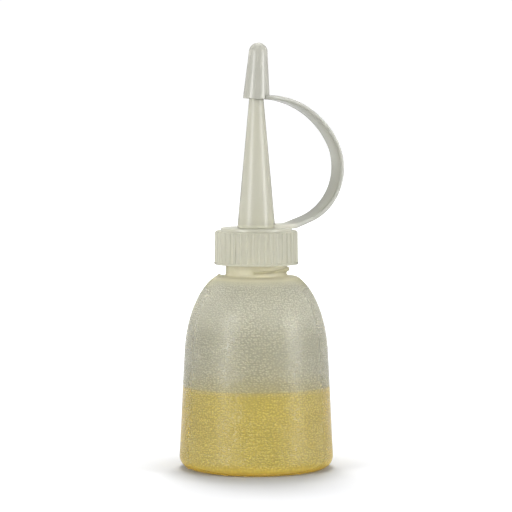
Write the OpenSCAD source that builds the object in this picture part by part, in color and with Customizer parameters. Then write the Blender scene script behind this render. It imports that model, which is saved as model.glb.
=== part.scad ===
// Squeeze oiler: a blow-moulded bottle of natural polyethylene, part filled with oil.
// A ribbed screw cap carries a long conical spout. A tether ring sits round the foot of
// the spout, and its flat strap loops up to the small cap that closes the spout's tip.
// Right-handed thread. Origin at the centre of the base, +Z up, millimetres.

/* [Bottle] */
// Diameter that the side wall would have at the level of the base
body_d = 41.2; // [38:0.2:46]
// Lean of the side wall, degrees inwards
body_taper = 2.75; // [1:0.05:4]
// Radius of the rounded bottom edge
corner_r = 3.2; // [2:0.1:5]
// Height at which the wall turns into the shoulder
dome_start = 31; // [26:0.5:40]
// Height of the shoulder's full quarter curve above that level
dome_rise = 21.1; // [17:0.1:25]
// Diameter that the shoulder's quarter curve would close to
dome_end_d = 14.8; // [11:0.1:16]
// Part of the quarter curve that is used before the land round the neck, degrees
dome_sweep = 71; // [66:1:75]
// Slope of the land, degrees
land_slope = 7; // [4:1:10]
// Wall of the body
bottle_wall = 1.0; // [0.7:0.05:1.4]
// Thickness of the base
base_t = 1.2; // [0.8:0.1:2]

/* [Neck] */
// Diameter of the neck between the threads
neck_d = 16.2; // [15:0.1:18]
// Height of the neck above the land at its foot
neck_h = 10.6; // [9:0.1:13]
// Wall of the neck
neck_wall = 1.3; // [1:0.05:1.8]
// Radius of the fillet where the neck meets the land
neck_fillet = 0.5; // [0.3:0.1:0.8]

/* [Thread] */
// Rise of the thread in one turn
pitch = 3; // [2.5:0.1:3.5]
// Height of the neck's thread above the neck
thread_depth = 0.7; // [0.5:0.05:0.8]
// Turns of thread on the neck
neck_turns = 2.2; // [1.5:0.1:2.5]
// Turns of thread inside the screw cap
cap_turns = 1.5; // [1:0.1:1.8]
// Width of a thread at its foot
thread_foot = 1.5; // [1.2:0.05:1.7]
// Width of a thread at its crest
thread_crest = 0.6; // [0.4:0.05:0.8]
// Where the neck's thread starts, degrees round from the right-hand side
thread_start = -95; // [-180:5:180]

/* [Oil] */
// Height of the oil's surface above the base
oil_level = 21.3; // [8:0.1:30]

/* [Screw cap] */
// Diameter over the ribs, at the top of the skirt
skirt_d = 22; // [21:0.1:24]
// Widening of the skirt from its top to its bottom, on the diameter
skirt_flare = 0.25; // [0:0.05:0.5]
// Height of the skirt
skirt_h = 8.85; // [8:0.05:9.6]
// Wall of the skirt behind the ribs
skirt_wall = 1.2; // [1:0.05:1.35]
// Thickness of the skirt's top
top_t = 1.2; // [1:0.1:1.8]
// Bevel round the skirt's top edge
skirt_bevel = 0.2; // [0.1:0.05:0.3]
// Height of the plain collar round the skirt's bottom edge
collar_h = 0.55; // [0.4:0.05:1]
// How far the collar stands out from the ribs
collar_out = 0.06; // [0.05:0.01:0.2]
// Number of ribs
rib_count = 40; // [24:1:48]
// Radius of a rib's round back
rib_r = 0.45; // [0.3:0.05:0.6]
// Height of a rib above the wall
rib_h = 0.3; // [0.2:0.02:0.4]
// Height of the skirt's top above the ends of the ribs
rib_margin = 0.1; // [0.05:0.05:0.3]
// Depth of the plug that seals in the neck's bore
plug_h = 1.6; // [1:0.1:2.2]
// Wall of the plug
plug_wall = 0.9; // [0.7:0.1:1.2]
// Bevel that leads the plug into the bore
plug_lead = 0.35; // [0.1:0.05:0.5]

/* [Spout] */
// Diameter of the spout's cone at its foot
spout_foot_d = 10.06; // [9:0.1:11]
// Diameter of the spout at its tip
spout_tip_d = 2.1; // [1.9:0.05:2.6]
// Height of the spout above the screw cap
spout_h = 44.65; // [35:0.5:55]
// Wall of the spout at its foot
spout_foot_wall = 1.0; // [0.8:0.05:1.3]
// Diameter of the hole in the tip
spout_hole_d = 1.1; // [0.8:0.05:1.2]

/* [Tether] */
// Outer diameter of the ring
ring_d = 18.8; // [16:0.1:20]
// Thickness of the ring
ring_t = 0.8; // [0.5:0.05:1]
// Rounding of the ring's top edge
ring_edge = 0.3; // [0.1:0.05:0.4]
// How far the spout's foot overhangs the ring to hold it down
ring_lip = 0.33; // [0.2:0.01:0.45]
// Thickness of the strap
strap_t = 1.1; // [0.8:0.05:1.3]
// Width of the strap at its root on the ring
strap_root_w = 7.9; // [6:0.1:8.5]
// Width of the strap at the middle of its length
strap_mid_w = 5.6; // [4:0.1:7]
// Width of the strap at the tip cap
strap_tip_w = 7.2; // [5:0.1:7.4]
// Chamfer along the strap's edges
strap_chamfer = 0.15; // [0.05:0.05:0.2]
// Direction of the strap, degrees round from the right-hand side
strap_angle = 24.5; // [0:0.5:60]
// How far the strap's root runs out past the ring's edge before it turns up
strap_out = 0.4; // [0.2:0.1:1]
// How deep the strap's root is sunk in the ring
root_sink = 0.25; // [0.25:0.05:0.4]
// Slope of the strap's first, straight stretch, degrees
strap_slope = 19.8; // [12:0.1:24]
// Length of that stretch
strap_run = 4.9; // [3:0.1:7]
// Turn of the strap's lower, tighter bend, degrees
strap_lower_turn = 98.7; // [80:0.1:105]
// How far the strap's end reaches past the tip cap's rim, on both sides of it
strap_reach = 2; // [1:0.1:2.4]

/* [Tip cap] */
// Diameter of the tip cap's rim
tip_rim_d = 7.1; // [6.8:0.05:7.6]
// Height of the tip cap
tip_h = 14.85; // [13.5:0.05:17]
// Lean of the tip cap's side, degrees
tip_taper = 4.95; // [4:0.05:5.5]
// Wall at the rim
tip_rim_wall = 0.72; // [0.6:0.02:0.85]
// Thickness of the closed end
tip_end_t = 1.4; // [1:0.1:2]
// Diameter of the cavity at its closed end
tip_bore_end_d = 2.4; // [2.2:0.05:2.8]
// Lean of the whole tip cap towards the strap, degrees
tip_tilt = 2.6; // [0:0.1:3.5]

/* [Fits] */
// Gap between the neck's rim and the underside of the screw cap
seal_gap = 0.1; // [0.05:0.01:0.2]
// Gap round the plug in the neck's bore
plug_clearance = 0.15; // [0.1:0.01:0.25]
// Gap between the flanks of the two threads
thread_play = 0.13; // [0.1:0.01:0.25]
// Gap between the crest of the cap's thread and the neck
crest_gap = 0.42; // [0.3:0.01:0.45]
// Height of the neck's first thread above the shoulder's land
neck_thread_rise = 0.15; // [0.1:0.05:0.4]
// Height of the cap's first thread above the skirt's edge
cap_thread_rise = 0.3; // [0.2:0.05:0.5]
// Gap round and above the tether ring
ring_clearance = 0.1; // [0.05:0.01:0.2]
// Gap between the spout's tip and the side of the tip cap's cavity
tip_clearance = 0.15; // [0.1:0.01:0.3]
// Gap between the root of the strap and the spout
root_gap = 0.27; // [0.2:0.01:0.6]

/* [Hidden] */
$fn = 96;

eps = 0.01;          // overlap that makes a cut run past a face
past = 1;            // how far a cut runs out of an open end
edge_bevel = 0.15;   // bevel on a moulding's lesser edges
weld = 0.3;          // how deep a thread or a rib is rooted in its wall
arc_steps = 8;       // straight steps in a small rounded edge
fillet_steps = 4;    // straight steps in a fillet
dome_steps = 16;     // straight steps in the shoulder
thread_facets = 24;  // steps in one turn of a thread
thread_lead = 3;     // steps over which a thread's end fades out
thread_blunt = 0.4;  // height of a thread's end face, in steps of that fade
bend_step = 6;       // turn of the strap between two stations, degrees

// Bottle
taper_tan = tan(body_taper);
bore_r = neck_d / 2 - neck_wall;
dome_depth = body_d / 2 - (dome_start + dome_rise) * taper_tan - dome_end_d / 2;
land_z = land_end(0, neck_d / 2 + neck_fillet);
neck_top = land_z + neck_h;

// Screw cap, carried by the neck's rim
top_under = neck_top + seal_gap;
top_z = top_under + top_t;
skirt_z = top_z - skirt_h;
rib_foot_r = skirt_d / 2 - rib_h;
skirt_in_r = rib_foot_r - skirt_wall;
plug_r = bore_r - plug_clearance;

// Thread: the cap's ridge lies close under the neck's ridge, a constant height below it
neck_thread_r = neck_d / 2 + thread_depth;
cap_thread_r = neck_d / 2 + crest_gap;
neck_overlap = (cap_thread_r - neck_d / 2) / thread_depth;
cap_overlap = (skirt_in_r - neck_thread_r) / (skirt_in_r - cap_thread_r);
thread_z = land_z + thread_foot / 2 + neck_thread_rise;
thread_drop = max(half_thread(neck_overlap), half_thread(cap_overlap)) + half_thread(1) + thread_play;
cap_thread_z = skirt_z + thread_foot / 2 + cap_thread_rise;
cap_thread_start = thread_start + 360 * (cap_thread_z + thread_drop - thread_z) / pitch;

// Spout
spout_tip_z = top_z + spout_h;
groove_r = spout_foot_d / 2 - ring_lip;
lip_z = top_z + ring_t + ring_clearance;

// Tether ring and the start of the strap
ring_top = top_z + ring_t;
ring_hole_r = groove_r + ring_clearance;
strap_z = ring_top + strap_t / 2 - root_sink;
strap_u = ring_d / 2 + strap_out;
tongue_in_r = spout_foot_d / 2 + root_gap;
straight_end = [strap_u + strap_run * cos(strap_slope), strap_z + strap_run * sin(strap_slope)];

// Tip cap: it slides down the spout until the tip meets the side of its cavity
tip_bore_r = tip_rim_d / 2 - tip_rim_wall;
tip_bore_h = tip_h - tip_end_t;
tip_bore_slope = (tip_bore_r - tip_bore_end_d / 2) / tip_bore_h;
tip_hold = (tip_bore_r - spout_tip_d / 2 - tip_clearance) / (tip_bore_slope + sin(tip_tilt));
tip_z = spout_tip_z - tip_hold;
tip_sphere_h = (tip_h - tip_rim_d / 2 * cos(tip_taper)) / (1 - sin(tip_taper));
tip_sphere_r = tip_h - tip_sphere_h;

// End of the strap's bends, level with the tip cap's rim and inside its wall
end_r = tip_rim_d / 2 - tip_rim_wall / 2;
strap_end = [end_r * cos(tip_tilt) + strap_t / 2 * sin(tip_tilt),
             tip_z - end_r * sin(tip_tilt) + strap_t / 2 * cos(tip_tilt)];

// The two bends are tangent arcs. Their radii follow from the two ends of the strap.
turn_a = strap_slope;
turn_b = strap_slope + strap_lower_turn;
turn_c = 180 - tip_tilt;
lower_u = sin(turn_b) - sin(turn_a);
lower_z = cos(turn_a) - cos(turn_b);
upper_u = sin(turn_c) - sin(turn_b);
upper_z = cos(turn_b) - cos(turn_c);
run_u = strap_end[0] - straight_end[0];
run_z = strap_end[1] - straight_end[1];
bend_det = lower_u * upper_z - upper_u * lower_z;
lower_r = (run_u * upper_z - upper_u * run_z) / bend_det;
upper_r = (lower_u * run_z - run_u * lower_z) / bend_det;
lower_centre = straight_end + lower_r * [-sin(turn_a), cos(turn_a)];
upper_centre = lower_centre + (upper_r - lower_r) * [-sin(turn_b), cos(turn_b)];

// Radius of the side wall at a height, inset by the wall's thickness
function wall_r(z, inset) = body_d / 2 - z * taper_tan - inset / cos(body_taper);

// Half the width of a thread at a share of its height
function half_thread(share) = (thread_foot + (thread_crest - thread_foot) * share) / 2;

// Points of an arc
function arc(centre, r, from, to, steps) =
    [for (i = [0:steps])
        let (a = from + (to - from) * i / steps)
        centre + r * [cos(a), sin(a)]];

// Point of the shoulder at a share of its quarter curve, moved inwards square to the curve
function dome_point(t, inset) =
    let (z = dome_start + dome_rise * sin(t),
         r = body_d / 2 - z * taper_tan - dome_depth * (1 - cos(t)),
         dz = dome_rise * cos(t),
         dr = -dz * taper_tan - dome_depth * sin(t),
         len = norm([dz, dr]))
    [r - inset * dz / len, z + inset * dr / len];

// Height of the land at a radius, moved inwards
function land_end(inset, r) =
    let (p = dome_point(dome_sweep, inset))
    p[1] + (p[0] - r) * tan(land_slope);

function dome(inset) = [for (i = [0:dome_steps]) dome_point(dome_sweep * i / dome_steps, inset)];

// Rounded bottom edge of the body, moved inwards
function corner(inset, floor_z) =
    let (r = corner_r - inset)
    arc([wall_r(corner_r, inset) - r / cos(body_taper) - (floor_z - inset) * taper_tan, floor_z + r],
        r, -90, body_taper, arc_steps);

// Hollow of the bottle, up past the neck's rim
module bottle_hollow() {
    rotate_extrude()
        polygon(concat([[0, base_t]], corner(bottle_wall, base_t), dome(bottle_wall),
            [[bore_r, land_end(bottle_wall, bore_r)], [bore_r, neck_top + past], [0, neck_top + past]]));
}

// One helical ridge of trapezoid section with faded ends, rooted in a wall of radius wall
module thread_ridge(wall, crest, z0, start, turns) {
    inward = crest < wall;
    root = wall + (inward ? weld : -weld);
    steps = round(turns * thread_facets);
    points = [for (i = [0:steps])
        let (a = start + 360 * i / thread_facets,
             z = z0 + pitch * i / thread_facets,
             fade = min(1, (i + thread_blunt) / thread_lead, (steps - i + thread_blunt) / thread_lead),
             top = wall + (crest - wall) * fade,
             foot = thread_foot / 2,
             tip = thread_crest / 2)
        for (p = [[root, -foot], [top, -tip], [top, tip], [root, foot]])
            [p[0] * cos(a), p[0] * sin(a), z + p[1]]];
    sides = [for (i = [0:steps - 1], k = [0:3])
        let (a = 4 * i + k, b = 4 * i + (k + 1) % 4, c = a + 4, d = b + 4)
        each [[a, c, b], [b, c, d]]];
    last = 4 * steps;
    ends = [[0, 1, 2], [0, 2, 3], [last, last + 2, last + 1], [last, last + 3, last + 2]];
    faces = concat(sides, ends);
    polyhedron(points, inward ? faces : [for (f = faces) [f[2], f[1], f[0]]]);
}

module bottle() {
    color([0.80, 0.81, 0.74, 0.55])
    union() {
        difference() {
            rotate_extrude()
                polygon(concat([[0, 0]], corner(0, 0), dome(0),
                    [[neck_d / 2 + neck_fillet, land_z]],
                    arc([neck_d / 2 + neck_fillet, land_z + neck_fillet], neck_fillet, 270, 180,
                        fillet_steps),
                    [[neck_d / 2, neck_top], [0, neck_top]]));
            bottle_hollow();
        }
        thread_ridge(neck_d / 2, neck_thread_r, thread_z, thread_start, neck_turns);
    }
}

module oil() {
    color([0.84, 0.70, 0.24, 0.9])
    intersection() {
        bottle_hollow();
        cylinder(h = oil_level, d = 2 * body_d);
    }
}

// Ribbed outside of the screw cap
module skirt_outside() {
    flare = skirt_flare / 2;
    collar_z = skirt_z + collar_h;
    collar_r = skirt_d / 2 + flare + collar_out;
    rib_top = top_z - rib_margin;
    // plain wall with a collar at its foot and bevelled edges
    rotate_extrude()
        polygon([[0, skirt_z], [collar_r - edge_bevel, skirt_z],
            [collar_r, skirt_z + edge_bevel], [collar_r, collar_z], [rib_foot_r + flare, collar_z],
            [rib_foot_r, top_z - skirt_bevel],
            [rib_foot_r - skirt_bevel, top_z], [0, top_z]]);
    // ribs, cut to the skirt's flare and bevelled at their upper ends
    intersection() {
        for (i = [0:rib_count - 1])
            rotate(360 * (i + 0.5) / rib_count)
                translate([skirt_d / 2 + flare - rib_r, 0, skirt_z])
                    cylinder(h = skirt_h, r = rib_r, $fn = 32);
        rotate_extrude()
            polygon([[rib_foot_r - weld, collar_z - weld], [skirt_d / 2, collar_z - weld],
                [skirt_d / 2 + flare, collar_z], [skirt_d / 2, rib_top - skirt_bevel],
                [skirt_d / 2 - skirt_bevel, rib_top], [rib_foot_r - weld, rib_top]]);
    }
}

module screw_cap() {
    color([0.84, 0.84, 0.78, 0.75])
    union() {
        difference() {
            union() {
                skirt_outside();
                // groove for the tether ring, then the spout's cone
                cylinder(h = lip_z, r = groove_r);
                translate([0, 0, lip_z])
                    cylinder(h = spout_tip_z - lip_z, d1 = spout_foot_d, d2 = spout_tip_d);
            }
            // room for the neck
            translate([0, 0, skirt_z - past])
                cylinder(h = top_under - skirt_z + past, r = skirt_in_r);
            translate([0, 0, -past])
                cylinder(h = skirt_z + past, d = 2 * skirt_d);
            // bore of the spout, one long cone from the neck to the tip
            translate([0, 0, top_under - eps])
                cylinder(h = spout_tip_z - top_under + 2 * eps,
                    r1 = spout_foot_d / 2 - spout_foot_wall, r2 = spout_hole_d / 2);
        }
        // plug that seals in the neck's bore
        rotate_extrude()
            polygon([[plug_r - plug_wall, top_under + eps], [plug_r - plug_wall, top_under - plug_h],
                [plug_r - plug_lead, top_under - plug_h], [plug_r, top_under - plug_h + plug_lead],
                [plug_r, top_under + eps]]);
        thread_ridge(skirt_in_r, cap_thread_r, cap_thread_z, cap_thread_start, cap_turns);
    }
}

// Section of the strap, thickness by width
function strap_section(width) =
    let (c = strap_chamfer, t = strap_t / 2, w = width / 2)
    [[t - c, -w], [t, c - w], [t, w - c], [t - c, w], [c - t, w], [-t, w - c], [-t, c - w], [c - t, -w]];

// Length of the strap up to a heading, and its width there: narrowest at half its length
function strap_length(h) = strap_run
    + PI / 180 * (lower_r * (min(h, turn_b) - turn_a) + upper_r * max(h - turn_b, 0));
function strap_width(length) =
    let (s = 2 * length / strap_length(turn_c) - 1)
    strap_mid_w + ((s < 0 ? strap_root_w : strap_tip_w) - strap_mid_w) * s * s;

// Stations along the strap's middle line, each with its place, its heading, the stretch of its
// section and its width. The first stands on the mitre with the ring, the last reaches round
// the tip cap's rim.
function strap_stations() = concat(
    [[strap_u, strap_z, strap_slope / 2, 1 / cos(strap_slope / 2), strap_root_w]],
    bend(lower_centre, lower_r, turn_a, turn_b),
    bend(upper_centre, upper_r, turn_b, turn_c),
    [[strap_end[0] + strap_reach * cos(turn_c), strap_end[1] + strap_reach * sin(turn_c),
        turn_c, 1, strap_tip_w]]);

// Stations round one bend. The first of a later bend is the last of the one before it.
function bend(centre, r, from, to) =
    let (steps = round(abs(to - from) / bend_step), first = from > strap_slope ? 1 : 0)
    [for (i = [first:steps])
        let (h = from + (to - from) * i / steps)
        [centre[0] + r * sin(h), centre[1] - r * cos(h), h, 1, strap_width(strap_length(h))]];

module strap_sweep() {
    stations = strap_stations();
    sides = len(strap_section(1));
    last = sides * (len(stations) - 1);
    points = [for (s = stations, p = strap_section(s[4]))
        [s[0] - s[3] * p[0] * sin(s[2]), s[1] + s[3] * p[0] * cos(s[2]), p[1]]];
    skin = [for (i = [0:sides:last - sides], k = [0:sides - 1])
        let (next = (k + 1) % sides)
        [i + sides + k, i + sides + next, i + next, i + k]];
    polyhedron(points, concat(skin,
        [[for (k = [0:sides - 1]) k]], [[for (k = [sides - 1:-1:0]) last + k]]));
}

// Inner side of the mitre where the strap leaves the ring
module inside_mitre() {
    size = 4 * strap_root_w;
    translate([strap_u, strap_z, 0])
        rotate(strap_slope / 2)
            translate([-size / 2, 0, 0])
                cube(size, center = true);
}

// Stands the strap's plane up, at the strap's place round the spout
module in_strap_plane() {
    rotate([0, 0, strap_angle])
        rotate([90, 0, 0])
            children();
}

module tether_ring() {
    color([0.80, 0.80, 0.75, 0.85])
    union() {
        rotate_extrude()
            polygon(concat([[ring_hole_r, top_z], [ring_d / 2 - edge_bevel, top_z],
                [ring_d / 2, top_z + edge_bevel]],
                arc([ring_d / 2 - ring_edge, ring_top - ring_edge], ring_edge, 0, 90, fillet_steps),
                [[ring_hole_r, ring_top]]));
        // root of the strap, clear of the spout's foot
        difference() {
            in_strap_plane()
                intersection() {
                    translate([tongue_in_r / 2, strap_z, 0])
                        rotate([90, 0, 90])
                            linear_extrude(height = strap_u - tongue_in_r / 2 + strap_t)
                                polygon(strap_section(strap_root_w));
                    inside_mitre();
                }
            translate([0, 0, strap_z - strap_t])
                cylinder(h = 2 * strap_t, r = tongue_in_r);
        }
    }
}

// Solid form of the tip cap, without its cavity, run on below its rim as far as below
module tip_cap_outside(below = 0) {
    in_strap_plane()
        translate([0, tip_z, 0])
            rotate([-90, 0, -tip_tilt])
                rotate_extrude()
                    polygon(concat([[0, -below]], below > 0 ? [[tip_rim_d / 2, -below]] : [],
                        [[tip_rim_d / 2, 0]],
                        arc([0, tip_sphere_h], tip_sphere_r, tip_taper, 90, 2 * arc_steps)));
}

module strap() {
    color([0.74, 0.74, 0.68, 0.9])
    difference() {
        in_strap_plane()
            strap_sweep();
        tip_cap_outside(below = past);
    }
}

module tip_cap() {
    color([0.85, 0.85, 0.80, 0.8])
    difference() {
        tip_cap_outside();
        in_strap_plane()
            translate([0, tip_z, 0])
                rotate([-90, 0, -tip_tilt])
                    translate([0, 0, -eps])
                        cylinder(h = tip_bore_h + eps,
                            r1 = tip_bore_r + eps * tip_bore_slope, d2 = tip_bore_end_d);
    }
}

bottle();
oil();
screw_cap();
tether_ring();
strap();
tip_cap();
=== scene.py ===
# Squeeze oiler: a domed bottle of natural polyethylene with a pebbled skin, part filled with golden
# oil, a ribbed screw cap with a long cone spout, and a tip cap held by a looped strap.
# Outlines are written in millimetres and made in metres, in the frame of the CAD model.
import math
import bpy
from mathutils import Matrix, Vector


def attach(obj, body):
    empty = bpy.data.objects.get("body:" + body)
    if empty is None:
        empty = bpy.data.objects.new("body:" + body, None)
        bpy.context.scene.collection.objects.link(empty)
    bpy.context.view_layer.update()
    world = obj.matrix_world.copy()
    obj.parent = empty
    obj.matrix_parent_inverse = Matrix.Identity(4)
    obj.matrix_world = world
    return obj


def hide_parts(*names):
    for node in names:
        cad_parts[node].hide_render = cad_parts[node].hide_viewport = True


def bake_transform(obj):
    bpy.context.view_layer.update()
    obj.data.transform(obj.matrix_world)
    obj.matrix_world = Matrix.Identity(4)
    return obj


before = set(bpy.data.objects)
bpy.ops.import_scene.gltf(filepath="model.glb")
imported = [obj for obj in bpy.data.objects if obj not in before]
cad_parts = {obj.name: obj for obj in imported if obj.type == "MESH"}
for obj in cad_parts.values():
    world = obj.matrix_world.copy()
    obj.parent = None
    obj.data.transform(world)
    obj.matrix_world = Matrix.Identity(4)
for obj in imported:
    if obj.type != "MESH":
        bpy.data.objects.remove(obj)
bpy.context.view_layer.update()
mm = 0.001
smoothAngle = 35  # degrees
mergeDistance = 0.002  # millimetres
tolerance = 0.01  # millimetres


# Modelling helpers

def clearSelection():
    bpy.ops.object.select_all(action="DESELECT")


def editMode(mode="VERT"):
    bpy.ops.object.mode_set(mode="EDIT")
    bpy.ops.mesh.select_mode(type=mode)
    bpy.ops.mesh.select_all(action="SELECT")


def objectMode():
    bpy.ops.object.mode_set(mode="OBJECT")


def selectVertices(piece, wanted):
    # selects the vertices whose place in millimetres passes the test, and leaves edit mode on
    bpy.ops.object.mode_set(mode="EDIT")
    bpy.ops.mesh.select_mode(type="VERT")
    bpy.ops.mesh.select_all(action="DESELECT")
    objectMode()
    for vertex in piece.data.vertices:
        vertex.select = wanted(vertex.co / mm)
    bpy.ops.object.mode_set(mode="EDIT")


def applyModifier(piece, modifier):
    clearSelection()
    piece.select_set(True)
    bpy.context.view_layer.objects.active = piece
    bpy.ops.object.modifier_apply(modifier=modifier.name)


def closeSkin():
    # in edit mode: merges the seam and the poles, then points every face outwards
    bpy.ops.mesh.select_all(action="SELECT")
    bpy.ops.mesh.remove_doubles(threshold=mergeDistance * mm)
    bpy.ops.mesh.normals_make_consistent(inside=False)
    objectMode()


def finishPiece(piece, name, body, replaced, material):
    clearSelection()
    piece.select_set(True)
    bpy.context.view_layer.objects.active = piece
    bpy.ops.object.transform_apply(location=True, rotation=True, scale=True)
    bpy.ops.object.shade_smooth_by_angle(angle=math.radians(smoothAngle))
    piece.name = name
    piece.data.name = name
    piece.data.materials.clear()
    piece.data.materials.append(material)
    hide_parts(*replaced)
    if body:
        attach(piece, body)
    print("piece", name, len(piece.data.polygons), "faces")
    return piece


def turnOutline(outline, segments):
    # draws the outline (radius, height) point by point beside the axis, then spins it all round
    clearSelection()
    bpy.ops.mesh.primitive_plane_add(size=mm, location=(0, 0, 0))
    piece = bpy.context.object
    editMode()
    bpy.ops.mesh.merge(type="CENTER")
    bpy.ops.transform.translate(value=(outline[0][0] * mm, 0, outline[0][1] * mm))
    for (r0, z0), (r1, z1) in zip(outline, outline[1:]):
        step = ((r1 - r0) * mm, 0, (z1 - z0) * mm)
        bpy.ops.mesh.extrude_vertices_move(TRANSFORM_OT_translate={"value": step})
    bpy.ops.mesh.select_all(action="SELECT")
    bpy.ops.mesh.spin(steps=segments, angle=math.tau, center=(0, 0, 0), axis=(0, 0, 1))
    closeSkin()
    return piece


def arc(centre, radius, start, end, steps):
    turns = [math.radians(start + (end - start) * i / steps) for i in range(steps + 1)]
    return [(centre[0] + radius * math.cos(a), centre[1] + radius * math.sin(a)) for a in turns]


def line(start, end, steps):
    # points from start to end, without start
    shares = [(i + 1) / steps for i in range(steps)]
    return [tuple(a + (b - a) * s for a, b in zip(start, end)) for s in shares]


def threadRidge(wall, crest, start, turns, startAngle, sizes):
    # one helical ridge, rooted in a wall, that sinks back into it at both ends
    clearSelection()
    bpy.ops.mesh.primitive_plane_add(size=mm, location=(0, 0, 0))
    ridge = bpy.context.object
    outward = 1 if crest > wall else -1
    root = wall - outward * sizes["root"]
    editMode()
    bpy.ops.transform.rotate(value=math.pi / 2, orient_axis="X", center_override=(0, 0, 0))
    bpy.ops.transform.resize(value=(abs(crest - root), 1, sizes["foot"]), center_override=(0, 0, 0))
    bpy.ops.transform.translate(value=((root + crest) / 2 * mm, 0, start * mm))
    selectVertices(ridge, lambda p: abs(p.x - crest) < tolerance)
    bpy.ops.transform.resize(value=(1, 1, sizes["crest"] / sizes["foot"]), center_override=(0, 0, start * mm))
    objectMode()
    steps = round(turns * sizes["facets"])
    screw = ridge.modifiers.new("screw", "SCREW")
    screw.angle = math.tau * turns
    screw.screw_offset = sizes["pitch"] * turns * mm
    screw.steps = screw.render_steps = steps
    screw.use_merge_vertices = False
    screw.use_normal_calculate = False
    applyModifier(ridge, screw)
    ridge.data.transform(Matrix.Rotation(math.radians(startAngle), 4, "Z"))
    # the ends fade: the outer vertices of the last steps sink towards the root
    for vertex in ridge.data.vertices:
        climb = (vertex.co.z / mm - start) / sizes["pitch"] * sizes["facets"]
        fade = min(1, (min(climb, steps - climb) + sizes["fadeShift"]) / sizes["fade"])
        radius = math.hypot(vertex.co.x, vertex.co.y) / mm
        if abs(radius - crest) < 2 * tolerance and fade < 1:
            sunk = wall - outward * sizes["sink"]
            share = (sunk + (crest - sunk) * max(fade, 0)) / radius
            vertex.co.x *= share
            vertex.co.y *= share
    editMode("EDGE")
    bpy.ops.mesh.select_all(action="DESELECT")
    bpy.ops.mesh.select_non_manifold()
    bpy.ops.mesh.edge_face_add()
    closeSkin()
    return ridge


def weld(piece, tool, operation="UNION"):
    # joins a tool into a piece with a boolean, then removes the tool
    modifier = piece.modifiers.new("weld", "BOOLEAN")
    modifier.operation = operation
    modifier.object = tool
    modifier.solver = "EXACT"
    applyModifier(piece, modifier)
    bpy.data.objects.remove(tool)
    return piece


def cutCylinder(piece, radius, depth, segments, place):
    clearSelection()
    bpy.ops.mesh.primitive_cylinder_add(vertices=segments, radius=radius * mm, depth=depth * mm)
    cutter = bpy.context.object
    cutter.data.transform(place)
    return weld(piece, cutter, "DIFFERENCE")


# Bottle: sizes here and below are in millimetres and degrees

bottleSizes = {
    "baseDiameter": 41.2, "lean": 2.75, "corner": 3.2, "domeStart": 31, "domeRise": 21.1, "domeEnd": 14.8,
    "domeSweep": 71, "landSlope": 7, "wall": 1.0, "floor": 1.2, "neckDiameter": 16.2, "neckHeight": 10.6,
    "neckWall": 1.3, "fillet": 0.5, "rimOutside": 0.3, "rimInside": 0.2, "boreCorner": 0.3, "segments": 192,
    "filletSteps": 5, "rimSteps": 4, "boreRimSteps": 3, "floorSteps": 6, "cornerSteps": 10, "wallSteps": 24,
    "domeSteps": 28, "landSteps": 12,
}
threadSizes = {
    "pitch": 3, "foot": 1.5, "crest": 0.6, "depth": 0.7, "neckTurns": 2.2, "capTurns": 1.5, "start": -95,
    "neckRise": 0.15, "capRise": 0.3, "play": 0.13, "crestGap": 0.42, "root": 0.3, "facets": 48, "fade": 8,
    "fadeShift": 0.6, "sink": 0.1,
}
flashSizes = {"radius": 9.9, "length": 0.9, "width": 0.8, "height": 0.6, "depth": 0.4}
grainSizes = {"depth": 0.45, "floor": 0.05, "start": 0.8, "startSoft": 2, "end": 0.4, "endSoft": 1.6}


def wallRadius(z, inset):
    lean = math.radians(bottleSizes["lean"])
    return bottleSizes["baseDiameter"] / 2 - z * math.tan(lean) - inset / math.cos(lean)


def domePoint(turn, inset):
    # a point of the shoulder, moved inwards square to its curve
    b = bottleSizes
    lean = math.tan(math.radians(b["lean"]))
    depth = b["baseDiameter"] / 2 - (b["domeStart"] + b["domeRise"]) * lean - b["domeEnd"] / 2
    t = math.radians(turn)
    z = b["domeStart"] + b["domeRise"] * math.sin(t)
    r = b["baseDiameter"] / 2 - z * lean - depth * (1 - math.cos(t))
    dz = b["domeRise"] * math.cos(t)
    dr = -dz * lean - depth * math.sin(t)
    length = math.hypot(dz, dr)
    return (r - inset * dz / length, z + inset * dr / length)


def landEnd(inset, radius):
    # height of the land round the neck at a radius
    r, z = domePoint(bottleSizes["domeSweep"], inset)
    return z + (r - radius) * math.tan(math.radians(bottleSizes["landSlope"]))


landHeight = landEnd(0, bottleSizes["neckDiameter"] / 2 + bottleSizes["fillet"])
neckTop = landHeight + bottleSizes["neckHeight"]
boreRadius = bottleSizes["neckDiameter"] / 2 - bottleSizes["neckWall"]


def bodyOutline(inset, floor):
    # from the floor, round the bottom edge and up to the land
    b = bottleSizes
    lean = math.radians(b["lean"])
    r = b["corner"] - inset
    across = wallRadius(b["corner"], inset) - r / math.cos(lean) - (floor - inset) * math.tan(lean)
    corner = arc((across, floor + r), r, -90, b["lean"], b["cornerSteps"])
    dome = [domePoint(b["domeSweep"] * i / b["domeSteps"], inset) for i in range(b["domeSteps"] + 1)]
    floorLine = [(0, floor)] + line((0, floor), corner[0], b["floorSteps"])
    return floorLine + corner[1:] + line(corner[-1], dome[0], b["wallSteps"]) + dome[1:]


def raiseFlash(bottle):
    # a small nub of flash, left by the mould on the land at the left end of its parting line
    f = flashSizes
    centre = Vector((-f["radius"], 0, landEnd(0, f["radius"])))
    for vertex in bottle.data.vertices:
        p = vertex.co / mm
        away = math.hypot((p.x - centre.x) / f["length"], (p.y - centre.y) / f["width"])
        if away < 1 and abs(p.z - centre.z) < f["depth"]:
            vertex.co.z += f["height"] * mm * (1 - away ** 2) ** 2


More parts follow.
